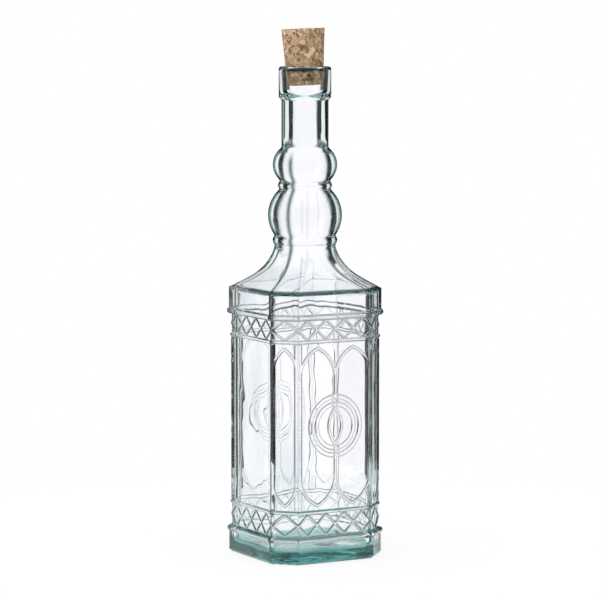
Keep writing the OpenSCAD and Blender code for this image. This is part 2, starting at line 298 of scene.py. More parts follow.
def octagon_radius(angle, wide, corner, rounding):
    """Distance from the axis to a rounded octagon, along each angle."""
    fold = fold_at(angle)
    rounding = min(rounding, wide, corner)
    cx = wide - rounding
    cy = max(math.sqrt(2) * (corner - rounding) - cx, 0.0)
    along = np.cos(fold) * cx + np.sin(fold) * cy
    reach = along ** 2 - cx * cx - cy * cy + rounding ** 2
    arc = along + np.sqrt(np.maximum(reach, 0.0))
    on_wide = wide / np.cos(fold)
    on_corner = corner / np.cos(EIGHTH - fold)
    tangent = abs(cx - cy) / math.sqrt(2)
    wide_side = wide * np.tan(fold) <= cy
    corner_side = corner * np.tan(EIGHTH - fold) <= tangent
    return np.where(wide_side, on_wide, np.where(corner_side, on_corner, arc))


def wide_half_at(half):
    """Half width of a wide face of the octagon that is half wide across its flats."""
    return WIDE_HALF + (half - BODY_HALF) * math.tan(EIGHTH / 2)


def corner_half_at(half):
    """Distance from the axis to a corner face of the same octagon."""
    return CORNER_HALF + half - BODY_HALF


def corner_face_half_at(half):
    """Half width of a corner face of the same octagon."""
    return (half - wide_half_at(half)) / math.sqrt(2)


def smooth_max(a, b, blend):
    """Larger of two values, rounded where they cross, and lowered a little to keep its size."""
    return 0.5 * (a + b + np.sqrt((a - b) ** 2 + blend ** 2)) - 0.12 * blend


def fillet_max(a, b, size):
    """Larger of two radii, with a fillet of that size where they meet."""
    close = max(size - abs(a - b), 0.0) / size
    return max(a, b) + close ** 2 * size / 4


def disc(z, middle, reach, radius):
    """Outline at height z of a disc of that radius whose outermost point is at reach."""
    inside = np.maximum(radius ** 2 - (z - middle) ** 2, 0.0)
    return np.where(inside > 0, reach - radius + np.sqrt(inside), NO_DISC)


def body_half_at(z):
    """Half width of the outside of the body across its flats, beads included, at height z."""
    half = BODY_HALF if z < BEAD4_Z or z > BEAD1_Z else GROUND_HALF
    for middle in (BEAD4_Z, BEAD1_Z):
        bead = disc(z, middle, BODY_HALF + THICK_OUT, THICK_H / 2)
        half = smooth_max(half, bead, THICK_BLEND)
    for middle in (BEAD3_Z, BEAD2_Z):
        bead = disc(z, middle, GROUND_HALF + THIN_OUT, THIN_H / 2)
        half = smooth_max(half, bead, THIN_BLEND)
    return float(half)


def flare(t, r0, z0, r1, z1):
    """Point of the shoulder's curve from radius r0 at height z0 to radius r1 at height z1."""
    points = (
        (r0, z0),
        (r0 - 0.37 * (r0 - r1), z0 + 0.23 * (z1 - z0)),
        (r1 + 0.12 * (r0 - r1), z0 + 0.38 * (z1 - z0)),
        (r1, z1),
    )
    weights = ((1 - t) ** 3, 3 * (1 - t) ** 2 * t, 3 * (1 - t) * t * t, t ** 3)
    return tuple(sum(w * p[k] for w, p in zip(weights, points)) for k in (0, 1))


def neck_radius_at(z):
    """Radius of the outside of the neck, from the top of the shoulder to the lip."""
    if z < RING2[0]:
        radius = NECK_BASE_R
    elif z < BULB1[0]:
        radius = WAIST_R
    else:
        radius = NECK_R
    for middle, reach, arc in (RING2, BULB2, RING1, BULB1):
        radius = fillet_max(radius, float(disc(z, middle, reach, arc)), NECK_FILLET)
    under_lip = NECK_R + (LIP_R - NECK_R) * smoothstep(LIP_Z - 2.2, LIP_Z + 0.2, z)
    straight = z > BULB1[0] + BULB1[1]
    return float(max(radius, under_lip) if straight else radius)


def bore_radius_at(z):
    """Radius of the inside of the neck, from the top of the shoulder to the seat of the cork."""
    if z < BULB2[0]:
        radius = NECK_BASE_R - NECK_WALL
    elif z < BULB1[0]:
        radius = WAIST_R - NECK_WALL
    else:
        radius = BORE_R
    for middle, reach, arc in (BULB2_IN, BULB1_IN):
        radius = fillet_max(radius, float(disc(z, middle, reach, arc)), INSIDE_FILLET)
    if z > BULB1[0]:
        flared = smoothstep(BULB1[0] + BORE_FLARE_H, BULB1[0], z)
        radius = BORE_R + (BULB1_IN[1] - BORE_R) * flared
    opened = smoothstep(THROAT_Z, MOUTH_Z + 0.5, z)
    return float(radius + (MOUTH_LOW_R - BORE_R) * opened)


# Relief on the faces, as a height above the ground. u runs along the face from its middle.

def bar(distance, width):
    """Flat-topped bar with soft edges, from the distance to its middle line."""
    return smoothstep(width / 2 + SOFT_EDGE / 2, width / 2 - SOFT_EDGE / 2, distance)


def strip(inward, width):
    """Flat-topped bar between two outlines, from the distance inward of the outer one."""
    return bar(np.abs(inward - width / 2), width)


def lattice(u, z, face_w, count, low, height):
    """Crossing bars that meet the edges of the face at mid height."""
    cell = face_w / count
    x = u / cell + count / 2
    y = (z - low) / height - 0.5
    scale = 1 / math.hypot(1 / cell, 1 / height)
    heights = 0.0
    for way in (-1, 1):
        line = x + way * y
        heights = np.maximum(heights, bar(np.abs(line - np.round(line)) * scale, LATTICE_BAR))
    fade = smoothstep(0, 0.8, z - low) * smoothstep(0, 0.8, low + height - z)
    return heights * fade


def arch_inward(u, z, half_w, rise):
    """Distance inward from the outline of a tall panel with a pointed arch at both ends."""
    low = PANEL_Z + ARCH_GAP + rise
    high = PANEL_TOP - ARCH_GAP - rise
    arc = (half_w ** 2 + rise ** 2) / (2 * half_w)
    past = np.maximum(np.maximum(z - high, low - z), 0.0)
    side = np.hypot(np.abs(u) + arc - half_w, past)
    return arc - side


def medallion(u, z):
    """Height of two rings round a pointed oval, and the distance inward from the outer ring."""
    dz = (z - (PANEL_Z + PANEL_TOP) / 2) * MEDALLION_SQUEEZE
    inward = MEDALLION_R - np.hypot(u, dz)
    heights = strip(inward, MEDALLION_BAR)
    heights = np.maximum(heights, strip(inward - MEDALLION_BAR - MEDALLION_GAP, MEDALLION_BAR))
    arc = (OVAL_HALF_W ** 2 + OVAL_RISE ** 2) / (2 * OVAL_HALF_W)
    oval = arc - np.hypot(np.abs(u) + arc - OVAL_HALF_W, dz)
    return np.maximum(heights, strip(oval, OVAL_BAR)), inward


def face_relief(kind, u, z, half):
    """Height of the relief at distance u along a face of that kind, at height z."""
    wide = kind != "corner"
    edge = wide_half_at(half) if wide else corner_face_half_at(half)
    count = WIDE_CROSSES if wide else 1
    for low, height in ((LOW_LATTICE_Z, LOW_LATTICE_H), (TOP_LATTICE_Z, TOP_LATTICE_H)):
        if low < z < low + height:
            return lattice(u, z, 2 * edge, count, low, height)
    if not PANEL_Z < z < PANEL_TOP:
        return np.zeros_like(u)
    ends = smoothstep(0, 0.6, z - PANEL_Z) * smoothstep(0, 0.6, PANEL_TOP - z)
    rib = edge - EDGE_RIB_W
    ribs = smoothstep(rib - SOFT_EDGE / 2, rib + SOFT_EDGE / 2, np.abs(u))
    if kind == "plain":
        return ribs * ends
    if kind == "corner":
        arch = strip(arch_inward(u, z, edge - RELIEF_MARGIN, CORNER_ARCH_RISE), ARCH_BAR)
        return np.maximum(ribs, arch) * ends
    half_w = (edge - RELIEF_MARGIN) / 2 + ARCH_BAR / 4
    arch = strip(arch_inward(np.abs(u) - half_w + ARCH_BAR / 2, z, half_w, ARCH_RISE), ARCH_BAR)
    rings, inward = medallion(u, z)
    outside = smoothstep(0.2, -0.2, inward)
    return np.maximum(ribs, np.maximum(arch * outside, rings)) * ends


def relief_at(angle, radius, z, half):
    """Relief height at each angle round the body, and the face normal to raise it along.

    The decorated faces are the wide ones that look along Y."""
    on_wide = fold_at(angle) < math.atan2(wide_half_at(half), half)
    face = face_at(angle, on_wide)
    u = radius * np.sin(angle - face)
    decorated = on_wide & (np.abs(np.cos(face)) < 0.5)
    plain = on_wide & ~decorated
    height = face_relief("corner", u, z, half)
    height = np.where(decorated, face_relief("decorated", u, z, half), height)
    height = np.where(plain, face_relief("plain", u, z, half), height)
    return height * RELIEF, face


# Columns: the angles of the points of a ring. Rows of one set are joined in quads.

def face_columns(face, half_w, distance, step):
    """Angles of evenly spaced points across a face of that half width, distance away from the axis."""
    count = max(int(round(2 * half_w / step)), 2)
    u = np.linspace(-half_w, half_w, count + 1)
    return face + np.arctan2(u, distance)


# Width of the cluster at an edge and its count of columns, where the columns of the faces beside it
# stop, and the least angle between two columns
EDGE_CLUSTER_W = 2.6
EDGE_CLUSTER = 11
WIDE_STOP = 1.2
CORNER_STOP = 1.0
LEAST_GAP = 0.0007


def column_set(wide_step, decorated_step, corner_step):
    """Sorted angles round the octagon, with a finer cluster at each of its eight edges.

    A wide face that is coarse in its middle still gets fine columns where its rib ends."""
    angles = []
    wide = wide_half_at(GROUND_HALF)
    for quarter in range(4):
        face = quarter * 2 * EIGHTH
        step = decorated_step if quarter % 2 else wide_step
        angles.append(face_columns(face, wide - WIDE_STOP, GROUND_HALF, step))
        if step > 1:
            rib = np.arange(wide - EDGE_RIB_W - 1.0, wide - WIDE_STOP, 0.3)
            angles.append(face + np.arctan2(np.concatenate((-rib, rib)), GROUND_HALF))
        corner = face + EIGHTH
        half = corner_face_half_at(GROUND_HALF)
        distance = corner_half_at(GROUND_HALF)
        angles.append(face_columns(corner, half - CORNER_STOP, distance, corner_step))
        for edge in (-1, 1):
            edge_angle = face + edge * math.atan2(wide, GROUND_HALF)
            span = EDGE_CLUSTER_W / 2 / math.hypot(wide, GROUND_HALF)
            angles.append(edge_angle + np.linspace(-span, span, EDGE_CLUSTER))
    angles = np.sort(np.concatenate(angles) % TURN)
    gap = np.diff(np.append(angles, angles[0] + TURN))
    return angles[gap > LEAST_GAP]


def round_columns(count):
    """Evenly spaced angles."""
    return np.arange(count) * TURN / count


# The first five sets are of the outside. Steps are in millimetres.
COLUMNS = {
    "lattice": column_set(0.36, 0.36, 0.36),
    "panel": column_set(3.0, 0.34, 0.34),
    "plain": column_set(2.6, 2.6, 2.0),
    "foot": column_set(0.8, 0.8, 0.8),
    "round": round_columns(144),
    "inside": round_columns(176),
}


def wave(angle, z, size, seed, fine=1):
    """Slow waves of hand-finished glass: 7 sines with seeded phases, or 12 finer ones."""
    draw = np.random.default_rng(seed)
    total = np.zeros_like(angle)
    for _ in range(7 + 5 * (fine > 1)):
        around = draw.integers(fine, 7 * fine)
        along = draw.uniform(0.02, 0.11) * fine
        phase = draw.uniform(0, TURN)
        total = total + draw.uniform(0.4, 1.0) * np.sin(around * angle + along * z + phase)
    return size * total / 3


# Rings: each is a set name and points in millimetres, from the middle of the foot, up the outside,
# over the lip, down the inside and across the inside floor.

def ring(columns, wide, corner, rounding, z, relief=False, wobble=0.0, seed=0):
    """A level rounded octagon, with relief on its faces, or slow and fine waves of size wobble."""
    angle = COLUMNS[columns]
    radius = octagon_radius(angle, wide, corner, rounding)
    if wobble:
        radius = radius + wave(angle, z, wobble, seed)
        radius = radius + wave(angle, z, wobble / FINE_LESS, seed + 1, FINE)
    points = np.stack((radius * np.cos(angle), radius * np.sin(angle), np.full_like(angle, z)), axis=1)
    if relief:
        height, face = relief_at(angle, radius, z, wide)
        points[:, 0] += height * np.cos(face)
        points[:, 1] += height * np.sin(face)
    return columns, points


def circle(columns, radius, z, wobble=0.0, seed=0):
    """A level circle, the octagon that is all rounding."""
    return ring(columns, radius, radius, radius, z, False, wobble, seed)


def octagon(columns, half, z, relief=False):
    """A level octagon of the outside of the body, half wide across its flats."""
    return ring(columns, half, corner_half_at(half), EDGE_ROUND, z, relief)


def under_rings():
    """The hollow under the foot, the bearing ring, and the bevel, which is notched below.

    The bevel's outline lies between a quarter round and a straight slope."""
    ball = (PUNT_R ** 2 + PUNT_DEPTH ** 2) / (2 * PUNT_DEPTH)
    for r in np.linspace(1.5, PUNT_R, 14):
        yield circle("round", r, PUNT_DEPTH - ball + math.sqrt(ball ** 2 - r * r))
    for t in (0.06, 0.5, 0.94):
        half = PUNT_R + t * (BODY_HALF - FOOT_BEVEL - PUNT_R)
        corner = PUNT_R + t * (corner_half_at(BODY_HALF - FOOT_BEVEL) - PUNT_R)
        yield ring("foot", half, corner, PUNT_R * (1 - t) + EDGE_ROUND * t, 0.0)
    for t in np.linspace(0, 1, 9):
        lean = t * math.pi / 2
        half = BODY_HALF - FOOT_BEVEL + FOOT_BEVEL * (0.6 * math.sin(lean) + 0.4 * t)
        z = FOOT_BEVEL * (0.6 * (1 - math.cos(lean)) + 0.4 * t)
        columns, points = octagon("foot", half, z)
        rise = 0.5 + 0.5 * np.cos(SCALLOPS * COLUMNS["foot"])
        notch = SCALLOP_DEPTH * smoothstep(0.2, 0.9, rise) * smoothstep(0.9, 0.1, t)
        points[:, :2] *= (1 - notch / np.hypot(points[:, 0], points[:, 1]))[:, None]
        points[:, 2] += 0.6 * notch
        yield columns, points


def body_rings():
    """The outside of the body, from the bevel to the top of the plain band.

    Each zone has its columns, its lowest and highest ring, and the step between rings."""
    zones = (
        ("plain", FOOT_BEVEL + 0.8, FOOT_H - 1.2, 1.2),
        ("plain", FOOT_H - 0.8, LOW_LATTICE_Z + 0.2, 0.22),
        ("lattice", LOW_LATTICE_Z + 0.4, LOW_LATTICE_TOP - 0.1, 0.36),
        ("panel", LOW_LATTICE_TOP, PANEL_Z + 0.4, 0.2),
        ("panel", PANEL_Z + 0.6, PANEL_TOP - 0.6, 0.45),
        ("panel", PANEL_TOP - 0.4, TOP_LATTICE_Z, 0.2),
        ("lattice", TOP_LATTICE_Z + 0.2, TOP_LATTICE_TOP - 0.4, 0.36),
        ("plain", TOP_LATTICE_TOP - 0.2, BEAD1_TOP + 0.8, 0.22),
        ("plain", BEAD1_TOP + 1.2, BAND_TOP - 1.0, 1.2),
    )
    for columns, low, high, step in zones:
        for z in np.linspace(low, high, int(round((high - low) / step)) + 1):
            yield octagon(columns, body_half_at(z), z, LOW_LATTICE_Z < z < BEAD1_Z)


def shoulder_rings(inset, columns, low, top_r, top, wobble=0.0, seed=0):
    """The flare, from an octagon to a circle. Its edges stay crisp for long outside, but not inside."""
    start = BODY_HALF - inset
    for t in np.linspace(0, 1, 44):
        wide, z = flare(t, start, low, top_r, top)
        corner, _ = flare(t, corner_half_at(start), low, top_r, top)
        rounding = EDGE_ROUND + (top_r - EDGE_ROUND) * t ** 4
        if columns == "inside":
            rounding = CORNER_ROUND_IN + (top_r - CORNER_ROUND_IN) * t
        yield ring(columns, wide, corner, float(rounding), z, False, wobble * (1 - t), seed)


def outside_neck_rings():
    """Up the neck's rings and bulbs and round the lip's upper edge."""
    for z in np.arange(SHOULDER_TOP + 0.4, LIP_Z + 0.6, 0.5):
        yield circle("round", neck_radius_at(z), z)
    for z in np.linspace(LIP_Z + 1.0, TOP_Z - LIP_ROUND - 0.5, 12):
        yield circle("round", LIP_R, z)
    for lean in np.linspace(0, 1, 7) * math.pi / 2:
        radius = LIP_R - LIP_ROUND * (1 - math.cos(lean))
        yield circle("round", radius, TOP_Z - LIP_ROUND * (1 - math.sin(lean)))


def inside_neck_rings():
    """Down the flared rim, the tapered mouth, the throat, the bore and the bulbs."""
    for t in np.linspace(0, 1, 13):
        yield circle("round", MOUTH_R + MOUTH_FLARE * (1 - t) ** 2, TOP_Z - MOUTH_FLARE_H * t)
    below_flare = TOP_Z - MOUTH_FLARE_H
    for t in np.linspace(0.08, 0.97, 11):
        z = below_flare + t * (MOUTH_Z - TOP_Z + MOUTH_FLARE_H)
        yield circle("round", MOUTH_R + t * (MOUTH_LOW_R - MOUTH_R), z)
    for z in np.arange(MOUTH_Z - 0.1, SHOULDER_TOP - 0.8, -0.4):
        rough = BORE_WAVE * smoothstep(THROAT_Z - 2, THROAT_Z - 14, z)
        yield circle("round", bore_radius_at(z), z, float(rough), BORE_SEED)


def floor_wave(x, y):
    """Slow rise and fall of the inside floor, and a smaller slanting ripple."""
    slow = 0.8 * np.sin(x / 13 + 0.6) * np.cos(y / 17 - 0.4)
    return slow + 0.35 * np.sin(x / 6.1 - y / 7.3 + 1.0)


def inside_body_rings():
    """The inside walls, the rounded edge of the floor and the floor."""
    half = GROUND_HALF - WALL
    inset = BODY_HALF - half
    top_r = NECK_BASE_R - NECK_WALL
    rings = shoulder_rings(inset, "inside", INSIDE_LOW, top_r, INSIDE_TOP, WALL_WAVE, WALL_SEED)
    yield from reversed(list(rings))
    corner = corner_half_at(half)

    def wall_ring(shrink, z):
        sizes = (half - shrink, corner - shrink, CORNER_ROUND_IN)
        return ring("inside", *sizes, z, False, WALL_WAVE, WALL_SEED)

    for z in np.arange(INSIDE_LOW - 1.5, FLOOR_H + FLOOR_ROUND, -2.0):
        yield wall_ring(0, z)
    for lean in np.linspace(0, 1, 12) * math.pi / 2:
        shrink = FLOOR_ROUND * (1 - math.cos(lean))
        columns, points = wall_ring(shrink, FLOOR_H + FLOOR_ROUND * (1 - math.sin(lean)))
        points[:, 2] += math.sin(lean) * floor_wave(points[:, 0], points[:, 1])
        yield columns, points
    flat = half - FLOOR_ROUND
    for t in np.linspace(0.94, 0.04, 18):
        rounding = CORNER_ROUND_IN + (flat - CORNER_ROUND_IN) * (1 - t)
        columns, points = ring("inside", flat * t, (corner - FLOOR_ROUND) * t, rounding * t, FLOOR_H)
        points[:, 2] += FLOOR_DOME * (1 - t * t) + floor_wave(points[:, 0], points[:, 1])
        yield columns, points


def bottle_rings():
    """All rings of the glass, in order."""
    yield from under_rings()
    yield from body_rings()
    for lean in np.linspace(0.2, 1, 4) * math.pi / 2:
        half = BODY_HALF - BAND_EDGE_ROUND * (1 - math.cos(lean))
        yield octagon("plain", half, BAND_TOP - BAND_EDGE_ROUND * (1 - math.sin(lean)))
    shoulder = shoulder_rings(SHOULDER_LEDGE, "plain", BAND_TOP, NECK_BASE_R, SHOULDER_TOP)
    yield from list(shoulder)[:-1]
    yield from outside_neck_rings()
    yield from inside_neck_rings()
    yield from inside_body_rings()


def band_faces(first, first_at, second, second_at):
    """Faces between two rings. Rings of the same columns get quads, others a strip of triangles."""
    a, b = COLUMNS[first], COLUMNS[second]
    if first == second:
        n = len(a)
        return [(first_at + i, first_at + (i + 1) % n, second_at + (i + 1) % n, second_at + i)
                for i in range(n)]
    faces = []
    i = j = 0
    while i < len(a) or j < len(b):
        next_a = a[i + 1] if i + 1 < len(a) else a[0] + TURN
        next_b = b[j + 1] if j + 1 < len(b) else b[0] + TURN
        this_a, this_b = first_at + i % len(a), second_at + j % len(b)
        if j == len(b) or (i < len(a) and next_a <= next_b):
            faces.append((this_a, first_at + (i + 1) % len(a), this_b))
            i += 1
        else:
            faces.append((this_a, second_at + (j + 1) % len(b), this_b))
            j += 1
    return faces


def mark_painted_lines(mesh, inner_from):
    """Store the painted shade on each line of the glass, as an attribute of the mesh.

    The lines are relief and beads, edges of the faces, a streak up the line of one edge, the shoulder's
    ledge and the rim.
    Points inside the body, from inner_from on, get -1."""
    count = len(mesh.vertices)
    places = np.empty(count * 3)
    mesh.vertices.foreach_get("co", places)
    x, y, z = (places.reshape(-1, 3) / MM).T
    normals = np.empty(count * 3)
    mesh.vertex_normals.foreach_get("vector", normals)
    normals = normals.reshape(-1, 3)
    angle = np.arctan2(y, x)
    radius = np.hypot(x, y)
    fold = fold_at(angle)
    edge = math.atan2(wide_half_at(GROUND_HALF), GROUND_HALF)
    face = face_at(angle, fold < edge)
    facing = normals[:, 0] * np.cos(face) + normals[:, 1] * np.sin(face)
    outward = normals[:, 0] * x + normals[:, 1] * y > 0
    back = y > 0

    # Painted shade on the slopes of the relief and beads, less on level parts and on the back faces.
    body = outward & (z > FOOT_H - 0.5) & (z < BEAD1_TOP + 0.5)
    level = smoothstep(0.5, 0.95, np.abs(normals[:, 2]))
    share = RELIEF_DARK - LEVEL_LESS * level - BACK_LESS * back
    dark = np.where(body, share * smoothstep(0.005, 0.16, 1 - facing), 0.0)

    # Painted shade along the edges between two faces.
    walls = outward & (radius > NECK_BASE_R + 1.5)
    near_edge = smoothstep(1.1, 0.2, np.abs(fold - edge) * radius)
    dark = np.maximum(dark, np.where(walls, EDGE_DARK * near_edge, 0.0))

    # Painted shade in a streak up the line of one edge, fainter mid-panel and ending on the upper bulb.
    streak_distance = np.abs((angle - edge) % TURN - math.pi) * radius
    soft = 0.9 + 2.0 * smoothstep(BAND_TOP, RING2[0], z)
    ending = smoothstep(BULB1[0] + 11, BULB1[0] + 2, z)
    faint = smoothstep(PANEL_Z + 20, PANEL_Z + 45, z) * smoothstep(PANEL_TOP - 10, PANEL_TOP - 35, z)
    streak = smoothstep(soft, 0.2, streak_distance) * ending * (1 - 0.35 * faint)
    dark = np.maximum(dark, np.where(outward & (z > FOOT_H), streak, 0.0))

    # Painted shade along the shoulder's ledge, less at the back.
    ledge = smoothstep(1.5, 0.6, np.abs(z - BAND_TOP - 0.1)) * (1 - LEDGE_BACK_LESS * back)
    dark = np.maximum(dark, np.where(outward, ledge, 0.0))

    # Painted shade on the flared inner rim of the mouth.
    rim = smoothstep(TOP_Z - MOUTH_FLARE_H - 0.3, TOP_Z - MOUTH_FLARE_H + 0.5, z)
    dark = np.maximum(dark, np.where(radius < MOUTH_R + MOUTH_FLARE + 0.3, rim, 0.0))

    dark[inner_from:] = -1
    mesh.attributes.new("painted_shade", "FLOAT", "POINT").data.foreach_set("value", dark)


def build_bottle():
    """One closed mesh: the outside and the inside of the glass, with a fan at each end."""
    points, faces = [], []
    at = 0
    before = None
    for columns, ring_points in bottle_rings():
        points.append(ring_points)
        if before:
            faces += band_faces(before[0], before[1], columns, at)
            if columns == "inside" and before[0] != "inside":
                inner_from = at
        else:
            first = (columns, at)
        before = (columns, at)
        at += len(ring_points)
    points = np.concatenate(points)
    for (columns, start), up in ((first, False), (before, True)):
        n = len(COLUMNS[columns])
        points = np.concatenate((points, points[start:start + n].mean(axis=0)[None]))
        for i in range(n):
            pair = (start + i, start + (i + 1) % n)
            faces.append((*(pair if up else pair[::-1]), at))
        at += 1
    mesh = bpy.data.meshes.new("glass")
    mesh.from_pydata((points * MM).tolist(), [], faces)
    mesh.validate()
    mesh.shade_smooth()
    mark_painted_lines(mesh, inner_from)
    piece = bpy.data.objects.new("moulded_glass", mesh)
    bpy.context.collection.objects.link(piece)
    return piece


# Cork: pressed granules with grooves between them and pits where one is missing

def cork_meridian():
    """Radius, height and outward direction of the rings, from the middle of the bottom to the top."""
    for r in np.arange(0.8, CORK_BOTTOM_R - CORK_BEVEL, CORK_END_STEP):
        yield r, 0.0, 0.0, -1.0
    for lean in np.linspace(0, 1, 4) * math.pi / 2:
        out, down = math.sin(lean), math.cos(lean)
        yield CORK_BOTTOM_R - CORK_BEVEL * (1 - out), CORK_BEVEL * (1 - down), out, -down
    for z in np.arange(CORK_BEVEL + CORK_STEP, CORK_LEN - CORK_BEVEL, CORK_STEP):
        yield CORK_BOTTOM_R + CORK_TAPER * z, z, 1.0, 0.0
    for lean in np.linspace(0, 1, 4) * math.pi / 2:
        out, up = math.cos(lean), math.sin(lean)
        yield CORK_TOP_R - CORK_BEVEL * (1 - out), CORK_LEN - CORK_BEVEL * (1 - up), out, up
    for r in np.arange(CORK_TOP_R - CORK_BEVEL - 0.3, 0.6, -CORK_END_STEP):
        yield r, CORK_LEN, 0.0, 1.0


def nearest_two(points, seeds):
    """For each point: the nearest seed, and its distance from the two nearest ones."""
    which = np.empty(len(points), dtype=int)
    near = np.empty((len(points), 2))
    batch = 2000
    for start in range(0, len(points), batch):
        part = points[start:start + batch]
        distance = np.linalg.norm(part[:, None, :] - seeds[None, :, :], axis=2)
        order = np.argpartition(distance, 1, axis=1)[:, :2]
        pair = np.take_along_axis(distance, order, axis=1)
        which[start:start + batch] = order[np.arange(len(part)), pair.argmin(axis=1)]
        near[start:start + batch] = np.sort(pair, axis=1)
    return which, near


def granules(points):
    """Depth, shade and darkness of the granules at each point of the surface.

    Granules are the cells round seeds, a little flat, and pits are tall spots round other seeds.
    Only some granules have dark grooves."""
    draw = np.random.default_rng(CORK_SEED)
    warp = np.stack([np.sin(points @ draw.normal(0, 0.9, 3) + k) for k in range(3)], axis=1)
    low = (-CORK_TOP_R - 1, -CORK_TOP_R - 1, -1)
    high = (CORK_TOP_R + 1, CORK_TOP_R + 1, CORK_LEN + 1)
    flat = (1, 1, 1.25)
    seeds = draw.uniform(low, high, (GRANULES, 3))
    which, near = nearest_two((points + 0.45 * warp) * flat, seeds * flat)
    shade = draw.uniform(0, 1, GRANULES)[which]
    raised = draw.uniform(-0.12, 0.0, GRANULES)[which]
    groove = smoothstep(0.42, 0.08, near[:, 1] - near[:, 0])
    weak = draw.uniform(0, 1, GRANULES)[which] < 0.4
    crumbs = draw.uniform(low, high, (CRUMBS, 3))
    tall = (1.0, 1.0, 0.6)
    _, crumb = nearest_two((points + 0.9 * warp[:, ::-1]) * tall, crumbs * tall)
    pit = smoothstep(0.8, 0.4, crumb[:, 0])
    depth = raised - 0.16 * groove * (0.5 + weak) - 0.6 * pit
    return depth, shade, np.clip(0.7 * groove * weak + 0.95 * pit, 0, 1)


def build_cork():
    """The cork's surface, pushed in by its granules and pits, and stood askew in the mouth."""
    angle = round_columns(CORK_COLUMNS)
    count = len(angle)

    def round_row(r, z):
        return np.stack((r * np.cos(angle), r * np.sin(angle), np.full(count, z)), axis=1)

    rings = list(cork_meridian())
    places = [round_row(r, z) for r, z, _, _ in rings]
    outward = [round_row(out, up) for _, _, out, up in rings]
    points = np.concatenate(places + [np.array(((0.0, 0.0, 0.0), (0.0, 0.0, CORK_LEN)))])
    outward = np.concatenate(outward + [np.array(((0.0, 0.0, -1.0), (0.0, 0.0, 1.0)))])
    depth, shade, dark = granules(points)
    points = points + depth[:, None] * outward
    faces = []
    for k in range(len(rings) - 1):
        for i in range(count):
            j = (i + 1) % count
            faces.append((k * count + i, k * count + j, (k + 1) * count + j, (k + 1) * count + i))
    last = (len(rings) - 1) * count
    low_end, high_end = len(points) - 2, len(points) - 1
    for i in range(count):
        j = (i + 1) % count
        faces.append((j, i, low_end))
        faces.append((last + i, last + j, high_end))
    lean = Matrix.Rotation(CORK_LEAN_TURN, 4, "Z") @ Matrix.Translation((-CORK_DRIFT, 0, 0))
    lean = Matrix.Translation((0, 0, TOP_Z - CORK_DEPTH)) @ lean @ Matrix.Rotation(CORK_LEAN, 4, "Y")
    turn = np.array(lean)
    points = points @ turn[:3, :3].T + turn[:3, 3]
    mesh = bpy.data.meshes.new("cork")
    mesh.from_pydata((points * MM).tolist(), [], faces)
    mesh.attributes.new("shade", "FLOAT", "POINT").data.foreach_set("value", shade)
    mesh.attributes.new("dark", "FLOAT", "POINT").data.foreach_set("value", dark)
    mesh.shade_smooth()
    piece = bpy.data.objects.new("pressed_cork", mesh)
    bpy.context.collection.objects.link(piece)
    return piece


# Materials

def new_material(name):
    """An empty material, its node tree and its output node."""
    material = bpy.data.materials.new(name)
    material.use_nodes = True
    tree = material.node_tree
    tree.nodes.clear()
    return material, tree, node(tree, "ShaderNodeOutputMaterial")


def node(tree, kind, **values):
    """A new node. Values are its inputs where they are named so, and else its settings."""
    made = tree.nodes.new(kind)
    for key, value in values.items():
        if key in made.inputs:
            made.inputs[key].default_value = value
        else:
            setattr(made, key, value)
    return made


def link(tree, value, socket):
    """Set a socket to a plain value, or link it to another node's output."""
    if isinstance(value, (int, float, tuple)):
        socket.default_value = value
    else:
        tree.links.new(value, socket)


def maths(tree, operation, *values):
    """Result of a sum on sockets or numbers."""
    made = node(tree, "ShaderNodeMath", operation=operation)
    for socket, value in zip(made.inputs, values):
        link(tree, value, socket)
    return made.outputs["Value"]


def mix_colour(tree, factor, first, second, blend="MIX"):
    """Colour between first, where factor is 0, and second. Sockets 0, 6 and 7 are these three."""
    made = node(tree, "ShaderNodeMix", data_type="RGBA", blend_type=blend)
    for place, value in zip((0, 6, 7), (factor, first, second)):
        link(tree, value, made.inputs[place])
    return made.outputs[2]


def colour_ramp(tree, factor, stops, interpolation="LINEAR"):
    """Colour by a factor: stops of a place from 0 to 1 and a colour, the first at 0."""
    made = node(tree, "ShaderNodeValToRGB")
    made.color_ramp.interpolation = interpolation
    elements = made.color_ramp.elements
    elements.remove(elements[1])
    elements[0].color = stops[0][1]
    for place, colour in stops[1:]:
        elements.new(place).color = colour
    tree.links.new(factor, made.inputs["Fac"])
    return made.outputs["Color"]


def noise(tree, place, scale, detail=2.0):
    """Strength of a cloudy noise at a place."""
    made = node(tree, "ShaderNodeTexNoise", Scale=scale, Detail=detail)
    tree.links.new(place, made.inputs["Vector"])
    return made.outputs["Fac"]


def smooth_range(tree, value, low, high):
    """0 below low, 1 above high, smooth between."""
    made = node(tree, "ShaderNodeMapRange", interpolation_type="SMOOTHSTEP")
    made.inputs["From Min"].default_value = low
    made.inputs["From Max"].default_value = high
    tree.links.new(value, made.inputs["Value"])
    return made.outputs["Result"]


